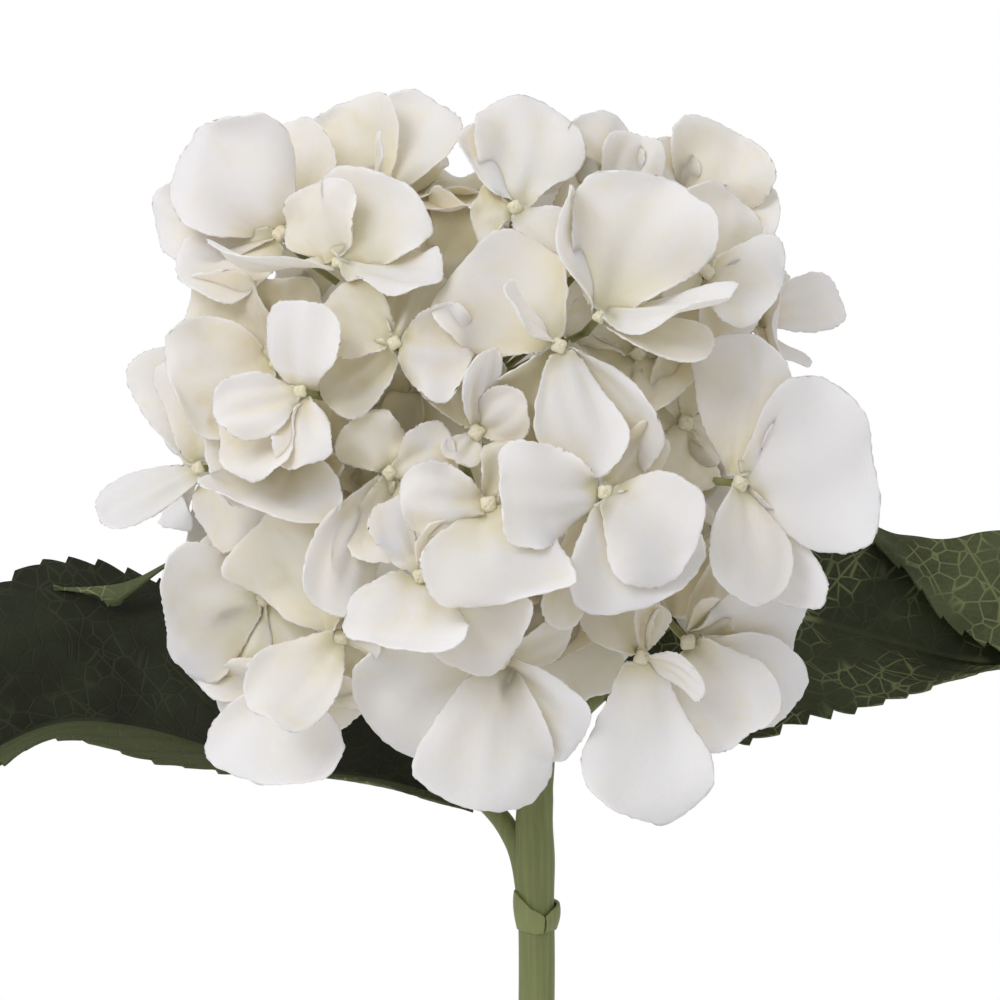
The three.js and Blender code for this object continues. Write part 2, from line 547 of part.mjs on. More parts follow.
// Limbs rise from a ring on the stem's top and divide into a twig for each floret's stalk.
function limbSolid(fork, n, grow) {
  const turn = (n / FORKS.length) * 2 * Math.PI + 0.4;
  const towards = Math.atan2(fork.y, fork.x);
  const foot = new THREE.Vector3(Math.cos(turn), Math.sin(turn), 0).multiplyScalar(LIMB_RING);
  foot.add(new THREE.Vector3(0.8, 1, STEM_TOP + GAP));
  const rise = foot.clone().lerp(fork, 0.4);
  rise.add(new THREE.Vector3(Math.cos(towards) * -3, Math.sin(towards) * -3, 4));
  let solid = rod([foot, rise, fork], () => LIMB_RADIUS + grow, 4, 3);
  for (const floret of florets) {
    if (floret.fork.distanceTo(fork) < 0.01) {
      const tip = stalkEnd(floret, GAP);
      if (tip.distanceTo(fork) > 2) {
        solid = solid.add(rod([fork, tip], () => TWIG_RADIUS + grow, 3, 1));
      }
    }
  }
  return solid;
}

FORKS.forEach((fork, n) => {
  addPiece(`limb_${n + 1}`, BRANCH, limbSolid(vec(fork), n, 0), limbSolid(vec(fork), n, GAP));
});

export default root;
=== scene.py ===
import math
import random

import bpy
from mathutils import Matrix, Vector
from mathutils.bvhtree import BVHTree


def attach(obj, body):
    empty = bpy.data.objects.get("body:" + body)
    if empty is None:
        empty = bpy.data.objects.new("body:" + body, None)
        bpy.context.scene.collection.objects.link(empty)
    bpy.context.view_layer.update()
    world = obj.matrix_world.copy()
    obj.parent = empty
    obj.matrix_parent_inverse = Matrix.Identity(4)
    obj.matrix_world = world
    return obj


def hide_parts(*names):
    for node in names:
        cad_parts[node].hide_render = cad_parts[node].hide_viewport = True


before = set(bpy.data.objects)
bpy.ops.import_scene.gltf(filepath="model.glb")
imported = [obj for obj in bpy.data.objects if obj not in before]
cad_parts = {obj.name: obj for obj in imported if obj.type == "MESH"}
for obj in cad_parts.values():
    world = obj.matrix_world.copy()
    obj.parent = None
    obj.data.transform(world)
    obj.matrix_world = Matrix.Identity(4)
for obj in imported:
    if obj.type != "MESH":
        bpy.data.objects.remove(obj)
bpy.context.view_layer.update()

mm = 0.001
print("frame loaded")


def chance(a, b):
    s = math.sin(a * 12.9898 + b * 78.233) * 43758.5453  # the same number for the same pair
    return s - math.floor(s)


def smooth(low, high, x):
    t = min(1.0, max(0.0, (x - low) / (high - low)))
    return t * t * (3 - 2 * t)


def pick(*objects):
    bpy.ops.object.select_all(action="DESELECT")
    for one in objects:
        one.select_set(True)
    bpy.context.view_layer.objects.active = objects[0]


def applyAll(piece):
    pick(piece)
    for modifier in list(piece.modifiers):
        bpy.ops.object.modifier_apply(modifier=modifier.name)


def joinPieces(pieces, name):
    pick(*pieces)
    bpy.ops.object.join()
    whole = bpy.context.object
    whole.name = name
    whole.data.name = name
    return whole


def finishPiece(piece, slotName, *nodes):
    pick(piece)
    bpy.ops.object.transform_apply(location=True, rotation=True, scale=True)
    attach(piece, "root")
    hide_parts(*nodes)


# Shader maths: a Wire is one output of one node, and Python's operators add Math nodes.
class Wire:
    def __init__(self, shader, socket):
        self.shader = shader
        self.socket = socket

    def math(self, operation, *others):
        return self.shader.node("ShaderNodeMath", {"operation": operation}, self, *others)

    def __add__(self, other):
        return self.math("ADD", other)

    def __sub__(self, other):
        return self.math("SUBTRACT", other)

    def __mul__(self, other):
        return self.math("MULTIPLY", other)

    def __rsub__(self, other):
        return self.shader.node("ShaderNodeMath", {"operation": "SUBTRACT"}, other, self)

    __radd__ = __add__
    __rmul__ = __mul__


class Shader:
    def __init__(self, name):
        self.material = bpy.data.materials.new(name)
        self.material.use_nodes = True
        self.nodes = self.material.node_tree.nodes
        self.links = self.material.node_tree.links
        self.surface = self.nodes["Principled BSDF"]

    def node(self, kind, settings, *values, out=0, **named):
        made = self.nodes.new(kind)
        for key, value in settings.items():
            setattr(made, key, value)
        for place, value in list(enumerate(values)) + list(named.items()):
            key = place if isinstance(place, int) else place.replace("_", " ")
            self.put(made.inputs[key], value)
        return Wire(self, made.outputs[out])

    def put(self, socket, value):
        if isinstance(value, Wire):
            self.links.new(value.socket, socket)
        else:
            socket.default_value = value

    def mix(self, share, first, second):
        made = self.nodes.new("ShaderNodeMix")
        made.data_type = "RGBA"
        for place, value in ((0, share), (6, first), (7, second)):
            colour = (*value, 1) if isinstance(value, tuple) else value
            self.put(made.inputs[place], colour)
        return Wire(self, made.outputs[2])

    def set(self, **values):
        for name, value in values.items():
            socket = self.surface.inputs[name.replace("_", " ")]
            if isinstance(value, tuple) and len(value) == 3 and socket.type == "RGBA":
                value = (*value, 1)
            self.put(socket, value)

    def bump(self, height, depth, strength=1.0):
        normal = self.node("ShaderNodeBump", {}, Strength=strength, Distance=depth, Height=height)
        self.put(self.surface.inputs["Normal"], normal)

    def place(self):
        return self.node("ShaderNodeTexCoord", {}, out=3)

    def noise(self, where, scale, detail=3.0, rough=0.5):
        return self.node("ShaderNodeTexNoise", {}, Vector=where, Scale=scale, Detail=detail,
                         Roughness=rough)

    def stretch(self, where, scale):
        return self.node("ShaderNodeMapping", {}, Vector=where, Scale=scale)

    def span(self, value, low, high, toLow=0.0, toHigh=1.0):
        return self.node("ShaderNodeMapRange", {"clamp": True}, value, low, high, toLow, toHigh)

    def split(self, name):
        attribute = self.node("ShaderNodeAttribute", {"attribute_name": name})
        return [self.node("ShaderNodeSeparateColor", {}, attribute, out=k) for k in range(3)]


sepalLook = {
    "throat": (0.56, 0.50, 0.27),
    "shadeKhaki": (0.70, 0.595, 0.35),
    "peach": (0.81, 0.695, 0.56),
    "green": (0.745, 0.71, 0.48),
    "cream": (0.815, 0.74, 0.585),
    "white": (0.83, 0.795, 0.765),
    "cool": (0.82, 0.795, 0.80),
    "rim": (0.87, 0.84, 0.82),
    "roughness": 0.62,
    "glow": 0.45,
}


def sepalMaterial():
    look = sepalLook
    s = Shader("sepalCloth")
    # The third channel is each sepal's own tone plus painted shade: cool white, cream, then khaki.
    along, across, warmth = s.split("sepalToneAndShade")
    place = s.place()
    cloud = s.noise(place, 38.0, 3.0)
    body = s.mix(s.span(warmth, 0.08, 0.3), look["cool"], look["white"])
    body = s.mix(s.span(warmth, 0.25, 0.6), body, look["cream"])
    # Painted shade: the most shaded sepals turn khaki.
    body = s.mix(s.span(warmth, 0.55, 0.95), body, look["shadeKhaki"])
    region = s.noise(place, 17.0, 1.0)
    soft = s.mix(s.span(region, 0.38, 0.62), look["peach"], look["green"])
    # Partly the cloth's own peach and green tint, partly painted shade: the hollow of each sepal, more
    # where it is shaded.
    hollowShade = s.span(along, 0.0, 0.8, 1.0, 0.0) * s.span(across, 1.0, 0.45)
    hollowShade = hollowShade * s.span(warmth, 0.1, 0.6, 0.2, 1.0)
    body = s.mix(hollowShade * s.span(cloud, 0.3, 0.7, 0.5, 1.0), body, soft)
    # Painted shade: khaki towards each sepal's foot, stronger where the sepal is shaded.
    baseShade = s.span(along, 0.0, 0.42, 1.0, 0.0) * s.span(warmth, 0.1, 0.7, 0.2, 1.0)
    body = s.mix(baseShade * s.span(cloud, 0.3, 0.7, 0.4, 0.9), body, look["shadeKhaki"])
    body = s.mix(s.span(along, 0.02, 0.17, 0.85, 0.0), body, look["throat"])
    body = s.mix(s.span(across, 0.9, 1.0) * 0.55, body, look["rim"])
    streak = s.noise(place, 190.0, 4.0, 0.6)
    body = s.mix(s.span(streak, 0.5, 0.75, 0.0, 0.10), body, look["cream"])
    s.set(Base_Color=body, Roughness=look["roughness"], Subsurface_Weight=look["glow"],
          Subsurface_Radius=(1.0, 0.85, 0.6), Subsurface_Scale=0.007,
          Sheen_Weight=0.15, Sheen_Roughness=0.5, Specular_IOR_Level=0.25)
    weave = s.noise(place, 2600.0, 2.0)
    s.bump(cloud * 0.5 + streak * 0.35 + weave * 0.08, 0.0009, 0.55)
    return s.material


budLook = {
    "top": (0.76, 0.71, 0.58),
    "low": (0.64, 0.60, 0.40),
}


def budMaterial():
    s = Shader("budSkin")
    place = s.place()
    speck = s.noise(place, 900.0, 3.0)
    s.set(Base_Color=s.mix(s.span(speck, 0.3, 0.7), budLook["low"], budLook["top"]), Roughness=0.6,
          Subsurface_Weight=0.15, Subsurface_Scale=0.002)
    s.bump(speck, 0.0003, 0.4)
    return s.material


stemLook = {
    "low": (0.195, 0.22, 0.078),
    "high": (0.15, 0.172, 0.06),
    "light": (0.26, 0.285, 0.11),
    "brown": (0.16, 0.12, 0.06),
}


def stemMaterial(name, lift=0.0):
    look = stemLook
    s = Shader(name)
    place = s.place()
    height = s.node("ShaderNodeSeparateXYZ", {}, place, out=2)
    body = s.mix(s.span(height, 0.10, 0.20), look["low"], look["high"])
    streak = s.noise(s.stretch(place, (900.0, 900.0, 26.0)), 1.0, 4.0, 0.6)
    body = s.mix(s.span(streak, 0.42, 0.75, 0.0, 0.6), body, look["light"])
    blotch = s.noise(place, 160.0, 4.0, 0.6)
    body = s.mix(s.span(blotch, 0.58, 0.8, 0.0, 0.35), body, look["brown"])
    if lift:
        body = s.mix(lift, body, look["light"])
    s.set(Base_Color=body, Roughness=s.span(streak, 0.2, 0.8, 0.42, 0.6), Specular_IOR_Level=0.4,
          Subsurface_Weight=0.08, Subsurface_Scale=0.002)
    s.bump(streak + blotch * 0.5, 0.0006, 0.5)
    return s.material


limbLook = {"green": (0.165, 0.19, 0.05), "pale": (0.36, 0.36, 0.16)}


def limbMaterial():
    s = Shader("limbSkin")
    place = s.place()
    blotch = s.noise(place, 120.0, 3.0)
    s.set(Base_Color=s.mix(s.span(blotch, 0.3, 0.7), limbLook["green"], limbLook["pale"]),
          Roughness=0.55, Subsurface_Weight=0.1, Subsurface_Scale=0.002)
    s.bump(s.noise(place, 900.0, 3.0), 0.0003, 0.4)
    return s.material


leafLook = {
    "shadeDark": (0.0135, 0.0155, 0.009),
    "low": (0.0235, 0.0275, 0.014),
    "mid": (0.041, 0.05, 0.0235),
    "under": (0.084, 0.098, 0.045),
    "vein": (0.225, 0.255, 0.115),
    "sideVeins": 9.0,
    "slant": 2.6,  # how far the side veins lean towards the tip
}


def leafMaterial(name, ground, second, veinShare):
    look = leafLook
    s = Shader(name)
    along, across, warmth = s.split("leafToneAndLight")
    place = s.place()
    blotch = s.noise(place, 55.0, 4.0, 0.6)
    body = s.mix(s.span(blotch, 0.35, 0.7), ground, second)
    stripe = (along * look["sideVeins"] - across * look["slant"]).math("FRACT")
    ribs = s.span((stripe - 0.5).math("ABSOLUTE"), 0.0, 0.035, 1.0, 0.0)
    midrib = s.span(across, 0.012, 0.03, 1.0, 0.0)
    edge = s.node("ShaderNodeTexVoronoi", {"feature": "DISTANCE_TO_EDGE"}, Vector=place, Scale=230.0)
    net = s.span(edge, 0.015, 0.065, 1.0, 0.0)
    fine = s.node("ShaderNodeTexVoronoi", {"feature": "DISTANCE_TO_EDGE"}, Vector=place, Scale=620.0)
    veins = (net * 0.75).math("MAXIMUM", ribs * 0.9).math("MAXIMUM", midrib)
    veins = veins.math("MAXIMUM", s.span(fine, 0.02, 0.10, 0.12, 0.0))
    # Painted light where the front band is lit, the real underside on the lobe: the third channel mixes in
    # the paler underside colour.
    body = s.mix(warmth * 0.8, body, look["under"])
    patch = s.span(s.noise(place, 46.0, 2.0), 0.46, 0.56, 0.10, 1.0)
    body = s.mix(veins * veinShare * patch, body, look["vein"])
    s.set(Base_Color=body, Roughness=s.span(blotch, 0.3, 0.7, 0.5, 0.62), Specular_IOR_Level=0.12)
    s.bump(1.0 - veins, 0.00035, 0.4)
    return s.material


materials = {
    "sepal": sepalMaterial(),
    "bud": budMaterial(),
    "stem": stemMaterial("stemSkin"),
    "collar": stemMaterial("collarSkin", 0.45),
    "limb": limbMaterial(),
    # Painted shade: the left leaf's top gets a darker ground and faint veins for the shadow under the head.
    "leafLeftTop": leafMaterial("leafLeftShadedFace", leafLook["shadeDark"], leafLook["low"], 0.07),
    "leafRightTop": leafMaterial("leafRightFace", leafLook["mid"], leafLook["low"], 0.8),
    "leafUnder": leafMaterial("leafUnderside", leafLook["under"], leafLook["mid"], 1.0),
}
print("materials made")

head = {
    "centre": (-9, 6, 261),
    "radii": (60, 54, 58),
    "front": (0, -1, 0),
}

# The eye that the camera stands at, from which front florets and leaves are placed.
view = {
    "target": (-8.14, 0, 251),
    "distance": 1100,
    "tilt": 3.0,  # degrees above level
    "span": 220,  # width in view at the target
}
target = Vector(view["target"])
tilt = math.radians(view["tilt"])
away = Vector((0, -math.cos(tilt), math.sin(tilt)))
eye = target + away * view["distance"]


# The true place, to half a millimetre, of what shows at x and z from the front at depth y.
def seen(spot):
    x, y, z = spot
    rise = z - target.z
    ray = Vector((x, rise * math.sin(tilt), target.z + rise * math.cos(tilt))) - eye
    place = eye + ray * ((y - eye.y) / ray.y)
    return Vector([round(value * 2) / 2 for value in place])


# Front florets: the heart's place, then for each sepal its tip's place, width, roll in degrees,
# then shares of its size: curl of the tip, cup, dish, sideways bow, and last its tone, cool white to cream
# to khaki, partly painted shade.
frontFlorets = [
    (-43.5, -44, 303,
     (-72, -52, 304.5, 19, 62, 0, 0.03, 0.04, 0, 0.1), (-50, -42, 321, 19, -30, 0, 0.1, 0.04, 0, 0.6),
     (-31, -44, 321, 24, 0, 0, 0.13, 0.06, 0, 0.5), (-21, -56, 300, 17, -35, 0, 0.1, 0.02, 0, 0.4)),
    (-31, -54, 285.5,
     (-14, -57, 282, 20.5, 0, 0, 0.1, -0.04, 0, 0.5), (-24, -45, 303, 13, 15, 0, 0.1, 0.05, 0, 0.3),
     (-48, -50, 294, 17, 0, 0, 0.14, 0.05, 0, 0.6), (-46, -48, 274, 16, 0, 0.05, 0.1, 0.08, 0, 0.95)),
    (-52, -56, 275,
     (-50, -60, 295, 17, 0, 0, 0.05, -0.06, 0, 0.1), (-71, -62, 270, 13, 0, 0, 0.1, -0.03, 0, 0.5),
     (-51, -64, 258, 13, 0, 0, 0.05, -0.05, 0, 0.5), (-69, -54, 259, 20, 25, 0.05, 0.18, 0.1, 0, 0.7)),
    (-54, -42, 263,
     (-61, -54, 247, 27, 0, 0.05, 0.15, 0.05, 0, 0.5), (-48, -46, 250, 18, 0, 0, 0.1, 0.04, 0, 0.8),
     (-73, -44, 258, 18, 0, 0, 0.1, 0.05, 0, 0.6), (-45, -38, 276, 16, 0, 0, 0.1, 0.05, 0, 0.9)),
    (-57, -42, 281,
     (-82, -48, 277, 24, 0, 0, 0.13, 0.08, 0, 0.75), (-75, -32, 297, 18, -15, 0, 0.1, 0.05, 0, 0.7),
     (-56, -38, 301, 19, 0, 0, 0.1, 0.05, 0, 0.8), (-60, -48, 262, 18, 0, 0, 0.1, 0.05, 0, 0.7)),
    (-74, -22, 258,
     (-97, -26, 246, 15, 14, 0, 0.08, 0.02, -0.04, 0.1),
     (-86, -12, 284, 18, 25, 0, 0.15, 0.1, -0.08, 0.6),
     (-80, -24, 282, 16, 10, 0, 0.1, 0.06, -0.06, 0.7), (-62, -38, 243, 20, -10, 0, 0.13, 0.06, 0, 0.5)),
    (-43, -48, 221.5,
     (-61, -42, 247, 26, -15, 0, 0.2, 0.1, 0, 0.95), (-62, -60, 202, 17, 0, 0.04, 0.1, -0.02, 0, 0.7),
     (-35, -54, 219, 9, 30, 0, 0.1, 0.05, 0, 0.5), (-30, -40, 228, 14, 0, 0, 0.1, 0.04, 0, 0.8)),
    (-60, -32, 230,
     (-84, -34, 226, 29, 0, 0, 0.1, 0.04, 0.03, 0.55), (-75, -28, 209, 17, 0, 0, 0.1, 0.04, 0, 0.5),
     (-68, -22, 247, 18, 0, 0, 0.1, 0.04, 0, 0.8), (-47, -36, 212, 18, 0, 0, 0.1, 0.04, 0, 0.7)),
    (-25.5, -60, 234.5,
     (-33, -72, 217, 26, 8, 0, 0.12, -0.04, 0.04, 0.35),
     (-33.5, -56, 252, 12.5, 0, 0, 0.1, 0.04, 0, 0.1), (-19.5, -64, 247, 9, 35, 0, 0.1, 0.05, 0, 0.7),
     (-2, -64, 219, 23, 0, 0, 0.1, -0.02, 0, 0.65)),
    (-8, -54, 216,
     (-12, -60, 182, 26.5, 0, 0, 0.08, -0.05, 0, 0.4), (8.5, -54, 196.5, 17, 0, 0, 0.1, -0.03, 0, 0.1),
     (-37, -42, 202, 25, 0, 0, 0.12, 0.05, 0, 0.3), (8, -46, 223, 12, 20, 0, 0.1, 0.04, 0, 0.5)),
    (-10.5, -62, 250,
     (-30, -66, 251.5, 14.5, 0, 0, 0.1, -0.04, 0, 0.5), (-7, -72, 226.5, 31, 0, 0, 0.1, -0.1, 0, 0.5),
     (-4, -58, 263, 13, 0, 0, 0.1, 0.05, 0, 0.8), (5, -58, 246, 15, 0, 0, 0.1, 0.04, 0, 0.7)),
    (15, -62, 253,
     (-10.5, -70, 254, 21, 0, 0, 0.08, -0.05, 0, 0.1), (35, -68, 240, 23, 0, 0, 0.1, -0.06, 0, 0.4),
     (27, -62, 228.5, 28, 0, 0, 0.12, -0.02, 0, 0.1), (4, -56, 222.5, 12, -25, 0, 0.1, 0.06, 0, 0.85),
     (27, -56, 267, 11, 0, 0, 0.1, 0.05, 0, 0.9)),
    (44, -46, 255,
     (44, -44, 289, 20, -58, 0, 0.08, 0.06, 0.03, 0.2), (75, -50, 263, 35, 0, 0, 0.08, 0.02, 0, 0),
     (63, -44, 228.5, 13, 25, 0, 0.12, 0.06, -0.05, 0.15), (46, -58, 229, 19, 0, 0, 0.1, -0.04, 0, 0.6)),
    (4.5, -58, 285,
     (-17, -50, 304, 28, 0, 0, 0.12, 0.07, 0, 0.6), (-8, -64, 297.5, 9, 60, 0, 0.1, 0.04, 0.05, 0),
     (-7, -52, 261, 18, 0, 0, 0.12, 0.07, 0, 0.95), (13, -62, 256.5, 17, 0, 0, 0.08, -0.05, 0, 0.4),
     (24.5, -58, 257, 14, 20, 0, 0.12, 0.05, 0.08, 0.35)),
    (13.5, -54, 291,
     (8, -52, 320.5, 18, 58, 0, 0.08, 0.05, 0, 0.3), (29, -52, 321, 28, 0, 0, 0.13, 0.08, 0, 0.55),
     (45, -62, 295, 17, -45, 0, 0.05, 0.02, 0, 0.1), (40, -56, 284.5, 12, -20, 0, 0.1, 0.02, 0, 0.75)),
    (33, -14, 315,
     (45, -8, 332, 23, 0, 0, 0.15, 0.1, 0, 0.85), (53, -12, 308, 22, 0, 0, 0.13, 0.06, 0, 0.6),
     (26, -12, 331.5, 13, 0, 0, 0.1, 0.05, 0, 0.4), (20, -18, 306, 16, 0, 0, 0.1, 0.05, 0, 0.8)),
    (37, -34, 301,
     (53.5, -38, 296, 23, 0, 0, 0.1, 0.05, 0, 0.35), (42, -28, 319, 19, 0, 0, 0.13, 0.07, 0, 0.8),
     (44, -32, 285, 16, 0, 0, 0.1, 0.05, 0, 0.6), (26, -36, 300, 14, 0, 0, 0.1, 0.05, 0, 0.8)),
    (-5, -38, 315,
     (0, -22, 339.5, 22, 0, 0, 0.13, 0.06, 0, 0.55), (10, -48, 302, 15, 0, 0, 0.1, -0.04, 0.06, 0.2),
     (-13.5, -24, 334.5, 12, 35, 0, 0.1, 0.05, 0, 0.4), (-14, -34, 312, 15, 0, 0, 0.1, 0.05, 0, 0.8)),
    (-35.5, -22, 318,
     (-43, -14, 339.5, 21, 0, 0, 0.15, 0.1, 0, 0.8), (-21, -12, 339, 22, 0, 0, 0.12, 0.05, 0, 0.35),
     (-34.5, -38, 331, 7.5, 0, 0, 0.05, 0.02, 0, 0.6), (-14, -12, 319, 18, -35, 0, 0.1, 0.05, 0, 0.95)),
    (-56, -30, 309,
     (-73, -34, 334, 26, 0, 0, 0.08, -0.03, 0, 0.1), (-53, -20, 335, 19, 0, 0, 0.12, 0.06, 0, 0.6),
     (-84, -24, 316, 18, 0, 0, 0.1, 0.04, 0, 0.4), (-77, -36, 297, 19, 0, 0, 0.1, 0.04, 0, 0.5)),
    (17, -26, 314,
     (12.5, -18, 336, 17, 0, 0, 0.12, 0.06, 0, 0.6), (24, -18, 332, 13, 0, 0, 0.1, 0.05, 0, 0.5),
     (6, -26, 322, 15, 0, 0, 0.1, 0.05, 0, 0.6), (20, -34, 298, 14, 0, 0, 0.1, 0.05, 0, 0.7)),
    (23, -46, 217,
     (21, -54, 179.5, 25, 0, 0, 0.08, -0.04, 0, 0.15), (16, -38, 231, 17, 0, 0, 0.1, 0.05, 0, 0.5),
     (37, -54, 208, 9, 35, 0, 0.1, 0.05, 0.06, 0.3), (26, -42, 229, 8, 0, 0, 0.1, 0.05, 0, 0.6)),
    (33, -36, 220,
     (48, -44, 198, 21, 0, 0, 0.14, 0.07, 0, 0.25), (42, -36, 227, 12, 0, 0, 0.1, 0.05, 0, 0.7),
     (58, -26, 203, 19, 0, 0, 0.1, 0.04, 0, 0.1), (58, -28, 228, 23, 0, 0, 0.12, 0.05, 0, 0.1),
     (43, -24, 239, 15, 0, 0, 0.1, 0.05, 0, 0.6)),
    (46, 4, 291,
     (68.5, 6, 294.5, 14, 0, 0, 0.1, 0.03, 0, 0.2), (58, -6, 280, 14, 0, 0, 0.1, 0.04, 0, 0.3),
     (50, 4, 305, 14, 0, 0, 0.1, 0.04, 0, 0.5), (40, 4, 276, 14, 0, 0, 0.1, 0.04, 0, 0.8)),
    (32, -32, 268,
     (33, -34, 286, 14, 0, 0, 0.12, 0.07, 0, 0.95), (30, -38, 253, 16, 0, 0, 0.12, 0.07, 0, 0.95),
     (42, -30, 263, 13, 0, 0, 0.1, 0.05, 0, 0.6), (20, -32, 273, 14, 0, 0, 0.1, 0.05, 0, 0.9)),
    (-13, -54, 266,
     (-19, -50, 285, 14, 0, 0, 0.12, 0.07, 0, 0.95), (-9, -62, 284.5, 9, 50, 0, 0.1, 0.04, 0.04, 0.1),
     (-2.5, -60, 273, 11.5, 0, 0, 0.08, -0.04, 0, 0.5), (-18.5, -60, 259.5, 8, 0, 0, 0.1, 0.04, 0, 0.3)),
    (-32, -52, 257,
     (-18, -58, 262, 13, 0, 0, 0.1, -0.02, 0, 0.5),
     (-46, -54, 225.5, 15, -15, 0, 0.12, 0.05, -0.06, 0.35),
     (-40, -50, 269, 14, 0, 0, 0.1, 0.05, 0, 0.7), (-34, -56, 236, 14, 0, 0, 0.12, 0.04, 0, 0.8)),
    (-53, -36, 211,
     (-58, -44, 188, 30, 0, 0, 0.1, -0.05, 0, 0.15), (-70, -28, 206, 16, 0, 0, 0.1, 0.05, 0, 0.4),
     (-40, -30, 203, 16, 0, 0, 0.1, 0.05, 0, 0.6), (-50, -26, 226, 16, 0, 0, 0.1, 0.05, 0, 0.8),
     (-35, -34, 218, 20, 0, 0, 0.1, 0.04, 0, 0.7)),
    (-26, -24, 300,
     (-11, -28, 311, 22, 0, 0, 0.12, 0.08, 0, 0.95), (-35, -18, 316, 19, 0, 0, 0.1, 0.05, 0, 0.95),
     (-12, -34, 288, 22, 0, 0, 0.1, 0.05, 0, 0.9), (-42, -30, 288, 20, 0, 0, 0.1, 0.05, 0, 0.9)),
    (-38, -26, 252,
     (-48, -30, 240, 22, 0, 0, 0.1, 0.05, 0, 0.9), (-30, -32, 272, 22, 0, 0, 0.1, 0.05, 0, 0.95),
     (-20, -34, 246, 22, 0, 0, 0.1, 0.05, 0, 0.9), (-52, -24, 262, 16, 0, 0, 0.1, 0.05, 0, 0.9)),
    (24, -28, 240,
     (38, -26, 234, 20, 0, 0, 0.1, 0.05, 0, 0.8), (18, -30, 222, 20, 0, 0, 0.1, 0.05, 0, 0.8),
     (12, -36, 250, 18, 0, 0, 0.1, 0.05, 0, 0.9), (34, -28, 254, 20, 0, 0, 0.1, 0.05, 0, 0.9)),
    (-26, -32, 277,
     (-13, -36, 290, 23, 0, 0, 0.1, 0.05, 0, 0.9), (-40, -34, 285, 22, 0, 0, 0.1, 0.05, 0, 0.85),
     (-18, -38, 262, 23, 0, 0, 0.1, 0.05, 0, 0.9), (-39, -36, 266, 20, 0, 0, 0.1, 0.05, 0, 0.9)),
    (22, -32, 283,
     (11, -36, 274, 22, 0, 0, 0.1, 0.05, 0, 0.9), (33, -36, 275, 22, 0, 0, 0.1, 0.05, 0, 0.9),
     (31, -28, 297, 22, 0, 0, 0.1, 0.05, 0, 0.8), (12, -28, 297, 22, 0, 0, 0.1, 0.05, 0, 0.8)),
    (3, -32, 232,
     (-9, -40, 240, 22, 0, 0, 0.1, 0.05, 0, 0.9), (14, -36, 222, 22, 0, 0, 0.1, 0.05, 0, 0.85),
     (-5, -36, 218, 22, 0, 0, 0.1, 0.05, 0, 0.8), (15, -36, 241, 20, 0, 0, 0.1, 0.05, 0, 0.9),
     (10, -40, 206, 24, 0, 0, 0.1, 0.04, 0, 0.6)),
]

# Side, top and back florets: azimuth from the back, elevation, sepal length.
roundFlorets = [
    (178, 80, 28), (-100, 54, 32), (-40, 46, 31), (20, 48, 31), (80, 52, 31),
    (-92, 12, 34), (-50, 10, 34), (-8, 8, 32), (34, 10, 32), (80, 12, 33),
    (-64, -26, 29), (-12, -27, 30), (42, -26, 30),
]

# Where the limbs divide.
forks = [
    (-34, -4, 242), (14, -4, 242), (-12, -6, 276), (-20, 26, 268), (14, 24, 264),
]

sepal = {
    "claw": 1.0,  # from the heart to the sepal's foot
    "thickness": 0.4,
    "columns": 12,
    "rows": 12,
    "ruffle": 1.9,  # waves of the rim
    "fray": 0.22,  # threads at the edge
    "pleat": 0.6,
    "fuller": 1.08,  # widths and lengths against the listed ones
    "longer": 0.98,
    "foot": 0.24,  # width at the foot, as a share
}
# Painted shade: sepals in the head's hollows are painted deeper where neighbours hide the sky: rays cast,
# how far (mm), and how much.
occlusionShade = {"rays": 26, "reach": 26, "own": 0.42, "shadeStrength": 1.0}


def outward(point):
    away = point - Vector(head["centre"])
    return Vector([away[k] / head["radii"][k] ** 2 for k in range(3)]).normalized()


def nearestFork(point):
    return min((Vector(fork) for fork in forks), key=lambda fork: (fork - point).length)


def listFlorets():
    florets = []
    for x, y, z, *tips in frontFlorets:
        centre = seen((x, y, z))
        sepals = [(*(seen(tip[:3]) - centre), *tip[3:]) for tip in tips]
        facing = (outward(centre) * 0.6 + Vector(head["front"]) * 0.4).normalized()
        florets.append({"centre": centre, "facing": facing, "sepals": sepals})
    for n, (azimuth, elevation, length) in enumerate(roundFlorets):
        a, e = math.radians(azimuth), math.radians(elevation)
        way = Vector((math.sin(a) * math.cos(e), math.cos(a) * math.cos(e), math.sin(e)))
        centre = Vector([head["centre"][k] + way[k] * head["radii"][k] for k in range(3)])
        facing = outward(centre)
        level = facing.cross(Vector((0.13, 0.21, 0.97))).normalized()
        steep = facing.cross(level)
        sepals = []
        for k in range(4):
            turn = (k + 0.5 + 0.7 * chance(n, 9)) * math.pi / 2 + 0.35 * (chance(n, k) - 0.5)
            reach = level * math.cos(turn) + steep * math.sin(turn)
            reach += facing * (-0.2 + 0.45 * chance(n + 40, k))
            reach = reach.normalized() * length * (0.88 + 0.2 * chance(n + 20, k))
            width = length * (0.74 + 0.14 * chance(n + 60, k))
            roll = 28 * (chance(n + 80, k) - 0.5)
            dish = 0.14 * chance(n + 7, k) - 0.06
            sepals.append((*reach, width, roll, 0, 0.1, dish, 0, chance(n + 3, k)))
        florets.append({"centre": centre, "facing": facing, "sepals": sepals})
    for floret in florets:
        floret["fork"] = nearestFork(floret["centre"])
    return florets


# Half the width of a sepal along its length, as a share.
def outline(u, widest):
    if u < widest:
        return sepal["foot"] + (1 - sepal["foot"]) * math.sin(math.pi / 2 * u / widest) ** 1.05
    return math.sqrt(max(0.0, 1 - ((u - widest) / (1 - widest)) ** 2.6))


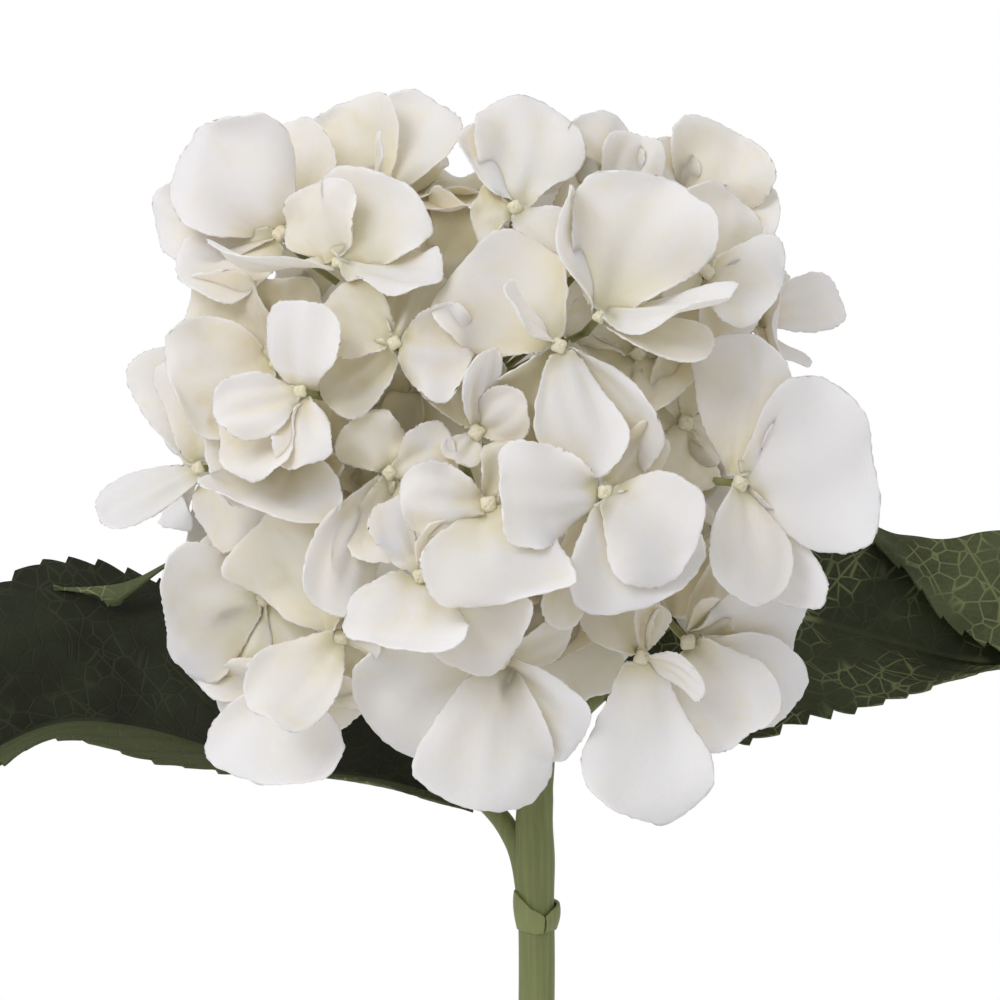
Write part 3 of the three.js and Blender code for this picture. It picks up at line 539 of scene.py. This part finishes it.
# One sepal as a curved sheet of points, with how far along and how near the rim each is.
def sepalSheet(centre, facing, spec, seed):
    draw = random.Random(seed)
    reach = Vector(spec[:3])
    length = reach.length
    along = reach.normalized()
    width, roll, curl, cup, dish, bow, warmth = spec[3:]
    normal = (facing - along * facing.dot(along)).normalized()
    normal = Matrix.Rotation(math.radians(roll), 3, along) @ normal
    side = normal.cross(along)
    widest = draw.uniform(0.56, 0.74)
    twist = draw.uniform(-0.32, 0.32)
    crease = draw.uniform(-0.03, 0.07)
    pleats = draw.choice((2.0, 2.5, 3.0))
    curl += draw.uniform(-0.09, 0.1)
    bow += draw.uniform(-0.05, 0.05)
    tip = draw.uniform(-0.05, 0.045)
    phases = [draw.uniform(0, 2 * math.pi) for _ in range(4)]
    ruffle = sepal["ruffle"] * draw.uniform(0.6, 1.3) * min(1.2, width / 20)
    lobes = draw.choice((3, 4, 5))
    corner = draw.uniform(-0.9, 0.9)
    point = draw.uniform(0.0, 0.065)
    rows, columns = sepal["rows"], sepal["columns"]
    places, tones = [], []
    for row in range(rows + 1):
        for column in range(columns + 1):
            p, q = 2 * column / columns - 1, 2 * row / rows - 1
            dx, dy = p * math.sqrt(1 - q * q / 2), q * math.sqrt(1 - p * p / 2)
            rim = dx * dx + dy * dy
            turn = math.atan2(dy, dx)
            u = (dy + 1) / 2
            chord = math.sqrt(max(1e-6, 1 - dy * dy))
            v = max(-1.0, min(1.0, dx / chord)) if chord > 1e-2 else 0.0
            share = outline(u, widest)
            arch = math.sin(math.pi * u)
            frill = math.sin(5 * turn + phases[0]) + 0.6 * math.sin(13 * turn + phases[3])
            frill *= 0.011 * width * rim ** 3
            sway = 0.055 * math.sin(2 * turn + phases[2]) + 0.045 * math.sin(3 * turn + phases[1])
            x = v * share * width * sepal["fuller"] / 2 * (1 + sway * rim) + frill * v
            peak = tip * length * math.exp(-((turn - math.pi / 2) / 0.4) ** 2) * rim ** 2
            peak += point * length * math.exp(-((turn - math.pi / 2 - corner) / 0.22) ** 2) * rim ** 3
            run = sepal["claw"] + (length * sepal["longer"] - sepal["claw"]) * u + frill * 0.6 * u + peak
            lift = -dish * length * arch + curl * length * u ** 3
            lift += sepal["pleat"] * math.sin(pleats * math.pi * v + phases[3]) * arch * (1 - v * v)
            lift += cup * width * v * v * share * (1 - 0.5 * u)
            lift += crease * width * math.exp(-(v / 0.16) ** 2) * math.sin(math.pi * min(1, u * 1.1))
            lift += x * math.sin(twist * u)
            lift += ruffle * (math.sin(4.5 * u + phases[1]) * v * abs(v) * share
                              + 0.8 * math.sin(lobes * turn + phases[2]) * rim ** 2
                              + 0.35 * math.sin(5 * u + 4 * v + phases[3]))
            x += bow * length * arch
            places.append(centre + along * run + side * x + normal * lift)
            tones.append((u, rim))
    return {"places": places, "tones": tones, "warmth": warmth, "along": along, "side": side, "seed": seed}


def sheetFaces():
    rows, columns = sepal["rows"], sepal["columns"]
    wide = columns + 1
    corners = [row * wide + column for row in range(rows) for column in range(columns)]
    return [(k, k + 1, k + 1 + wide, k + wide) for k in corners]


# How much of the sky above each point its neighbours hide, painted into the sepal colour as shade.
def paintOcclusionShade(sheets):
    faces = sheetFaces()
    points, polygons = [], []
    for sheet in sheets:
        start = len(points)
        points.extend(sheet["places"])
        polygons.extend([tuple(k + start for k in face) for face in faces])
    tree = BVHTree.FromPolygons(points, polygons)
    rays = []
    for k in range(occlusionShade["rays"]):
        height = 1 - 2 * (k + 0.5) / occlusionShade["rays"]
        around = k * math.pi * (3 - math.sqrt(5))  # the golden angle spreads the rays evenly
        flat = math.sqrt(1 - height * height)
        rays.append(Vector((flat * math.cos(around), flat * math.sin(around), height)))
    for sheet in sheets:
        hidden = []
        for place in sheet["places"]:
            up = outward(place)
            blocked = total = 0.0
            for ray in rays:
                weight = ray.dot(up)
                if weight > 0.1:
                    total += weight
                    gap = tree.ray_cast(place + ray * 0.7, ray, occlusionShade["reach"])[3]
                    if gap is not None:
                        blocked += weight * (1 - 0.6 * gap / occlusionShade["reach"])
            hidden.append(blocked / total)
        sheet["hidden"] = hidden


def makeSepal(sheet):
    draw = random.Random(sheet["seed"] + 7)
    bpy.ops.mesh.primitive_grid_add(x_subdivisions=sepal["columns"], y_subdivisions=sepal["rows"], size=2)
    piece = bpy.context.object
    tone = piece.data.attributes.new("sepalToneAndShade", "FLOAT_COLOR", "POINT")
    rows, columns = sepal["rows"], sepal["columns"]
    for vertex in piece.data.vertices:
        column = round((vertex.co.x + 1) / 2 * columns)
        row = round((vertex.co.y + 1) / 2 * rows)
        k = row * (columns + 1) + column
        vertex.co = sheet["places"][k] * mm
        u, rim = sheet["tones"][k]
        # Painted shade: the sepal's own tone plus the share of sky its neighbours hide.
        shade = sheet["warmth"] * occlusionShade["own"] + sheet["hidden"][k] * occlusionShade["shadeStrength"]
        tone.data[vertex.index].color = (u, rim, min(1.0, shade), 1)
    solid = piece.modifiers.new("wall", "SOLIDIFY")
    solid.thickness = sepal["thickness"] * mm
    solid.offset = 0
    soft = piece.modifiers.new("soft", "SUBSURF")
    soft.levels = soft.render_levels = 1
    applyAll(piece)
    tone = piece.data.attributes["sepalToneAndShade"]
    for vertex in piece.data.vertices:
        edge = smooth(0.93, 1.0, tone.data[vertex.index].color[1])
        if edge > 0:
            vertex.co += sheet["along"] * draw.uniform(-1, 1) * edge * sepal["fray"] * mm
            vertex.co += sheet["side"] * draw.uniform(-1, 1) * edge * sepal["fray"] * mm
    bpy.ops.object.shade_smooth()
    piece.data.materials.append(materials["sepal"])
    return piece


bud = {"radius": 1.65, "lobes": 0.12, "groove": 0.5}


def makeBud(centre, facing, seed):
    turn = facing.to_track_quat("Z", "Y").to_matrix()
    spin = Matrix.Rotation(chance(seed, 3) * math.pi, 3, "Z")
    bpy.ops.mesh.primitive_uv_sphere_add(segments=24, ring_count=14, radius=1)
    piece = bpy.context.object
    size = bud["radius"] * (0.85 + 0.3 * chance(seed, 5))
    for vertex in piece.data.vertices:
        p = vertex.co.copy()
        around = math.atan2(p.y, p.x)
        swell = 1 + bud["lobes"] * math.cos(4 * around)
        near = min(abs(p.x), abs(p.y))
        p.x *= swell
        p.y *= swell
        p.z *= 0.82
        if p.z > 0:
            p.z -= bud["groove"] * math.exp(-(near / 0.13) ** 2) * 0.4 * p.z
        vertex.co = (centre + turn @ (spin @ (p * size)) + facing * 1.1) * mm
    bpy.ops.object.shade_smooth()
    piece.data.materials.append(materials["bud"])
    return piece


def makeRod(points, radii, material, sides=10):
    bpy.ops.curve.primitive_bezier_curve_add()
    rod = bpy.context.object
    curve = rod.data
    curve.dimensions = "3D"
    curve.splines.clear()
    spline = curve.splines.new("NURBS" if len(points) > 3 else "POLY")
    spline.points.add(len(points) - 1)
    for point, place, radius in zip(spline.points, points, radii):
        point.co = (*(Vector(place) * mm), 1)
        point.radius = radius
    if len(points) > 3:
        spline.order_u = 4
        spline.use_endpoint_u = True
        spline.resolution_u = 8
    curve.bevel_depth = mm
    curve.bevel_resolution = max(1, sides // 4 - 1)
    curve.use_fill_caps = True
    pick(rod)
    bpy.ops.object.convert(target="MESH")
    rod = bpy.context.object
    bpy.ops.object.shade_smooth()
    rod.data.materials.clear()
    rod.data.materials.append(material)
    return rod


florets = listFlorets()
sheets = []
for n, floret in enumerate(florets):
    floret["sheets"] = []
    for k, spec in enumerate(floret["sepals"]):
        floret["sheets"].append(sepalSheet(floret["centre"], floret["facing"], spec, 100 * n + k))
    sheets.extend(floret["sheets"])
paintOcclusionShade(sheets)
print("sepals shaped:", len(sheets))

pedicel = {"length": 13, "neck": 0.85, "foot": 1.0, "inward": 0.88}


def pedicelFoot(floret, extra=0.0):
    back = (floret["fork"] - floret["centre"]).normalized()
    back = (back * (1 - pedicel["inward"]) - floret["facing"] * pedicel["inward"]).normalized()
    return floret["centre"] + back * (pedicel["length"] + extra)


for n, floret in enumerate(florets):
    pieces = [makeSepal(sheet) for sheet in floret["sheets"]]
    pieces.append(makeBud(floret["centre"], floret["facing"], n))
    foot = pedicelFoot(floret)
    pieces.append(makeRod([floret["centre"] + floret["facing"] * 0.5, foot],
                          [pedicel["neck"], pedicel["foot"]], materials["limb"]))
    name = f"floret_{n + 1:02d}"
    finishPiece(joinPieces(pieces, "flower" + name[6:]), "sepals", name)
print("florets made:", len(florets))

# Rails run from a blade's foot to its tip: the midrib, the front edge, the fold and the margin.
leaf = {
    "thickness": 0.5,
    "teeth": 24,
    "toothDepth": 2.6,
    "bend": 0.55,  # where the back half turns over, as a share of its width
    "sharpness": 0.07,
    "left": {
        "rib": [
            (-14, 9, 184), (-33, 21, 189.3), (-52, 29, 191.6), (-70, 34, 196), (-88, 36, 201),
            (-105, 33, 201.8), (-120, 26, 195.8), (-134, 19, 187), (-148, 12, 179), (-160, 6, 173),
        ],
        "front": [
            (-14, 5.5, 183), (-33, 10, 187.8), (-52, 12, 190), (-70, 13, 191.6), (-88, 14, 194.4),
            (-105, 14, 197.7), (-120, 10, 191.4), (-134, 8, 182.5), (-148, 5.5, 176),
            (-160, 5, 172.3),
        ],
        "margin": [
            (-14, 12, 187), (-33, 42, 209), (-52, 55, 222), (-70, 60, 230), (-88, 60, 235.5),
            (-104, 57, 238), (-119, 50, 233.5), (-135, 37, 220), (-150, 22, 200), (-160.5, 7, 175),
        ],
        "arch": 3.0, "band": 1.0, "faces": ("leafLeftTop", "leafUnder"),
    },
    "right": {
        "rib": [
            (15, 14, 207.5), (30, 26, 216), (45, 35, 222.5), (57, 38, 224.8), (68, 40, 222.4),
            (80, 40, 218.8), (92, 39, 216), (104, 37, 214.3), (118, 32, 212), (132, 26, 209),
            (147, 17, 205), (160, 10, 201),
        ],
        "front": [
            (15, 10, 206.3), (30, 14, 203.5), (44, 18, 196.5), (57, 20, 200.5), (68, 21.5, 203.6),
            (80, 22, 207.6), (92, 21, 211.2), (104, 20, 214), (118, 18, 213), (132, 15, 210),
            (147, 11.5, 205.5), (160, 9, 200),
        ],
        "crest": [
            (15, 16.5, 209.5), (30, 34, 225), (45, 45, 236), (57, 50, 241.5), (68, 52, 246.8),
            (80, 51, 243), (92, 48, 242.3), (104, 44, 244.4), (118, 38, 242), (132, 30, 234),
            (147, 20, 220), (160, 11, 203.5),
        ],
        "margin": [
            (15, 18, 210.5), (30, 38, 229), (45, 50, 242), (57, 55, 247), (67.5, 50, 245.5),
            (80, 42, 235), (91, 34, 223), (103, 29, 216.9), (117, 25, 215.3), (131, 20, 213),
            (146, 17, 214), (160, 11.5, 205),
        ],
        "arch": 0.0, "band": 0.15, "faces": ("leafUnder", "leafRightTop"),
    },
}
for plan in (leaf["left"], leaf["right"]):
    for rail in ("rib", "front", "crest", "margin"):
        if rail in plan:
            plan[rail] = [seen(spot) for spot in plan[rail]]


def curvePoint(points, t):
    span = min(len(points) - 2, int(t * (len(points) - 1)))
    w = t * (len(points) - 1) - span
    p1, p2 = Vector(points[span]), Vector(points[span + 1])
    p0 = Vector(points[span - 1]) if span > 0 else p1 * 2 - p2
    p3 = Vector(points[span + 2]) if span + 2 < len(points) else p2 * 2 - p1
    return 0.5 * (2 * p1 + (p2 - p0) * w + (2 * p0 - 5 * p1 + 4 * p2 - p3) * w * w
                  + (3 * p1 - p0 - 3 * p2 + p3) * w ** 3)


def leafPoint(plan, u, v):
    rib = curvePoint(plan["rib"], u)
    if v < 0:
        edge = curvePoint(plan["front"], u)
        return rib.lerp(edge, -v)
    margin = curvePoint(plan["margin"], u)
    bend = leaf["bend"]
    if "crest" in plan:
        crest = curvePoint(plan["crest"], u)
    else:
        crest = rib.lerp(margin, bend)
        crest += Vector((0, -0.8, 0.6)) * plan["arch"] * math.sin(math.pi * u)
    inner = rib.lerp(crest, v / bend)
    outer = crest.lerp(margin, (v - bend) / (1 - bend))
    return inner.lerp(outer, 0.5 * (1 + math.tanh((v - bend) / leaf["sharpness"])))


def makeLeaf(name, plan, seed):
    draw = random.Random(seed)
    phases = [draw.uniform(0, 2 * math.pi) for _ in range(5)]
    bpy.ops.mesh.primitive_grid_add(x_subdivisions=36, y_subdivisions=10 * leaf["teeth"], size=2)
    piece = bpy.context.object
    tone = piece.data.attributes.new("leafToneAndLight", "FLOAT_COLOR", "POINT")
    step = 0.004
    for vertex in piece.data.vertices:
        v, u = vertex.co.x, (vertex.co.y + 1) / 2
        spot = leafPoint(plan, u, v)
        ahead = leafPoint(plan, min(1, u + step), v) - leafPoint(plan, max(0, u - step), v)
        aside = leafPoint(plan, u, min(1, v + step)) - leafPoint(plan, u, max(-1, v - step))
        facing = ahead.cross(aside).normalized()
        edge = abs(v)
        side = 0 if v > 0 else 1
        tooth = u * leaf["teeth"] + phases[side] + 0.25 * math.sin(9 * u + phases[2])
        deep = 0.55 + 0.6 * chance(int(tooth), side + seed)
        room = (spot - curvePoint(plan["rib"], u)).length
        bite = (1 - tooth % 1.0) ** 1.2 * leaf["toothDepth"] * deep * smooth(0.88, 1.0, edge)
        bite *= smooth(0.0, 12.0, room)
        spot -= aside.normalized() * bite * (1 if v > 0 else -1)
        vein = u * leafLook["sideVeins"] - edge * leafLook["slant"]
        spot += facing * (0.7 * math.sin(17 * u + 3 * edge + phases[2]) * edge ** 2
                          + 0.3 * math.sin(2 * math.pi * vein) * smooth(0.05, 0.3, edge))
        vertex.co = spot * mm
        # Painted light: a paler band along the front edge, where that strip is lit.
        light = plan["band"] * smooth(0.0, 0.06, -v)
        tone.data[vertex.index].color = (u, edge, light, 1)
    solid = piece.modifiers.new("wall", "SOLIDIFY")
    solid.thickness = leaf["thickness"] * mm
    solid.offset = 0
    solid.material_offset = 1
    for face in plan["faces"]:
        piece.data.materials.append(materials[face])
    applyAll(piece)
    bpy.ops.object.shade_smooth_by_angle(angle=math.radians(50))
    piece.name = name
    return piece


# The small fold on the left leaf.
lobe = {
    "upper": [(-111, 50.5, 228.2), (-101, 48.5, 228.6), (-93, 48, 230), (-84, 50, 234.5)],
    "lower": [(-111, 50.5, 227.8), (-101, 47.5, 226), (-96, 46.5, 224), (-84, 50, 233.5)],
}


def makeLobe():
    bpy.ops.mesh.primitive_grid_add(x_subdivisions=8, y_subdivisions=40, size=2)
    piece = bpy.context.object
    tone = piece.data.attributes.new("leafToneAndLight", "FLOAT_COLOR", "POINT")
    for vertex in piece.data.vertices:
        v, u = (vertex.co.x + 1) / 2, (vertex.co.y + 1) / 2
        spot = curvePoint(lobe["upper"], u).lerp(curvePoint(lobe["lower"], u), v)
        spot.z += 0.7 * (1 - (u * 7) % 1.0) * smooth(0.7, 1.0, v)
        spot.y -= 1.2 * math.sin(math.pi * v)
        vertex.co = spot * mm
        tone.data[vertex.index].color = (0.3 + 0.2 * u, 0.3 + 0.4 * v, 1, 1)
    wall = piece.modifiers.new("wall", "SOLIDIFY")
    wall.thickness = leaf["thickness"] * mm
    applyAll(piece)
    bpy.ops.object.shade_smooth_by_angle(angle=math.radians(50))
    piece.data.materials.append(materials["leafUnder"])
    return piece


leftBlade = joinPieces([makeLeaf("leafLeft", leaf["left"], 5), makeLobe()], "leafLeft")
finishPiece(leftBlade, "leaves", "leaf_left")
finishPiece(makeLeaf("leafRight", leaf["right"], 8), "leaves", "leaf_right")
print("leaves made")

stem = {
    "radius": 4.0, "top": 204,
    "path": [(0, 0, 0), (0, 0, 60), (-0.2, 0, 120), (0, 0, 150), (-0.4, 0, 168), (-0.6, 0, 180),
             (0.2, 0.5, 192), (0.8, 1, 204)],
}


def makeStem():
    points, radii = [], []
    steps = 40
    for k in range(steps + 1):
        t = k / steps
        spot = curvePoint(stem["path"], t)
        swell = math.exp(-((spot.z - 172) / 7) ** 2)
        points.append(spot)
        radii.append(stem["radius"] + 0.5 * swell - (0.3 if spot.z > 186 else 0))
    return makeRod(points, radii, materials["stem"], 28)


finishPiece(joinPieces([makeStem()], "mainStem"), "stem", "stem")

stalks = {
    "petiole_left": [(-2.4, 0.2, 164.5), (-3.3, 0.6, 172.5), (-5.7, 1.8, 177), (-8.3, 4, 181.3),
                     (-13.8, 9, 185.2)],
    "petiole_right": [(3.2, 1.4, 197), (6.5, 5, 201), (10.5, 9.5, 204.8), (15.4, 14.4, 208)],
}
stalkRadius, stalkTip = 2.35, 2.0
for node, points in stalks.items():
    rod = makeRod(points, [stalkRadius] * (len(points) - 1) + [stalkTip], materials["stem"], 20)
    finishPiece(joinPieces([rod], "leafStalk" + node[8:].title()), "stem", node)
print("stem made")

limb = {"radius": 1.25, "twig": 0.8, "ring": 3.3, "gap": 0.45}
for n, place in enumerate(forks):
    fork = Vector(place)
    turn = n / len(forks) * 2 * math.pi + 0.4
    foot = Vector((math.cos(turn), math.sin(turn), 0)) * limb["ring"]
    foot += Vector((0.8, 1, stem["top"] + limb["gap"]))
    towards = math.atan2(fork.y, fork.x)
    rise = foot.lerp(fork, 0.4) + Vector((math.cos(towards) * -3, math.sin(towards) * -3, 4))
    path = [foot, foot.lerp(rise, 0.5), rise.lerp(fork, 0.5), fork]
    rods = [makeRod(path, [limb["radius"]] * 4, materials["limb"])]
    for floret in florets:
        if (floret["fork"] - fork).length < 0.01:
            tip = pedicelFoot(floret, limb["gap"])
            if (tip - fork).length > 2:
                twig = [fork, fork.lerp(tip, 0.5), tip]
                rods.append(makeRod(twig, [limb["twig"]] * 3, materials["limb"]))
    finishPiece(joinPieces(rods, f"headLimb{n + 1}"), "head_branches", f"limb_{n + 1}")
print("limbs made")

# Each scale runs from one angle to another, its top edge between two heights.
collar = {
    "low": 155.5, "rows": 14, "columns": 60, "thickness": 0.85, "swell": 0.85, "notch": -1.19,
    "collar_scale_front": (-3.75, -1.22, 165, 160.5),
    "collar_scale_back": (-1.16, 2.4, 160.7, 164),
}


def makeScale(node, name):
    first, last, highFirst, highLast = collar[node]
    peak = 1 if node.endswith("front") else 0.4
    bpy.ops.mesh.primitive_grid_add(x_subdivisions=collar["columns"], y_subdivisions=collar["rows"], size=2)
    piece = bpy.context.object
    for vertex in piece.data.vertices:
        share, u = (vertex.co.x + 1) / 2, (vertex.co.y + 1) / 2
        angle = first + (last - first) * share
        high = highFirst + (highLast - highFirst) * share
        high += 1.6 * peak * math.sin(math.pi * min(1, share * 1.3)) - 0.6
        nearNotch = min(abs(angle - collar["notch"]), 0.5) / 0.5
        high -= 0.9 * (1 - nearNotch) ** 2
        flare = stem["radius"] + collar["swell"] * math.sin(math.pi * 0.72 * u)
        flare += 0.18 * (1 - nearNotch) * math.sin(math.pi * u)
        z = collar["low"] + 0.7 * abs(math.cos(angle)) * (1 - u) + (high - collar["low"]) * u
        vertex.co = Vector((math.cos(angle) * flare, math.sin(angle) * flare, z)) * mm
    wall = piece.modifiers.new("wall", "SOLIDIFY")
    wall.thickness = collar["thickness"] * mm
    wall.offset = 0
    bevel = piece.modifiers.new("bevel", "BEVEL")
    bevel.width = 0.2 * mm
    bevel.segments = 2
    bevel.angle_limit = math.radians(60)
    applyAll(piece)
    bpy.ops.object.shade_smooth_by_angle(angle=math.radians(60))
    piece.data.materials.append(materials["collar"])
    finishPiece(joinPieces([piece], name), "collar", node)


makeScale("collar_scale_front", "collarScaleFront")
makeScale("collar_scale_back", "collarScaleBack")
print("collar made")

floor = {"half": 0.6, "colour": (0.86, 0.86, 0.86)}
bpy.ops.object.select_all(action="DESELECT")
bpy.ops.mesh.primitive_plane_add(size=2 * floor["half"], location=(0, 0, -0.0005))
ground = bpy.context.object
ground.name = "floor"
paper = Shader("floorPaper")
paper.set(Base_Color=floor["colour"], Roughness=0.9)
ground.data.materials.append(paper.material)

light = {"sky": 0.70, "key": 7.0, "keyPlace": (-620, -850, 950), "keySize": 0.6}
bpy.ops.object.camera_add()
camera = bpy.context.object
camera.data.lens = camera.data.sensor_width * view["distance"] / view["span"]
camera.data.clip_end = 20
camera.location = eye * mm
camera.rotation_euler = (-away).to_track_quat("-Z", "Y").to_euler()
bpy.context.scene.camera = camera

world = bpy.data.worlds.new("studio")
bpy.context.scene.world = world
world.use_nodes = True
nodes, links = world.node_tree.nodes, world.node_tree.links
backdrop = nodes["Background"]
lightPath = nodes.new("ShaderNodeLightPath")
level = nodes.new("ShaderNodeMapRange")
level.inputs[3].default_value = light["sky"]
level.inputs[4].default_value = 1.0
links.new(lightPath.outputs["Is Camera Ray"], level.inputs[0])
links.new(level.outputs[0], backdrop.inputs["Strength"])
backdrop.inputs["Color"].default_value = (1, 1, 1, 1)

bpy.ops.object.light_add(type="AREA", location=Vector(light["keyPlace"]) * mm)
key = bpy.context.object
key.data.energy = light["key"]
key.data.size = light["keySize"]
key.rotation_euler = (target * mm - key.location).to_track_quat("-Z", "Y").to_euler()
bpy.context.scene.view_settings.view_transform = "Standard"
print("floor, camera and light made")
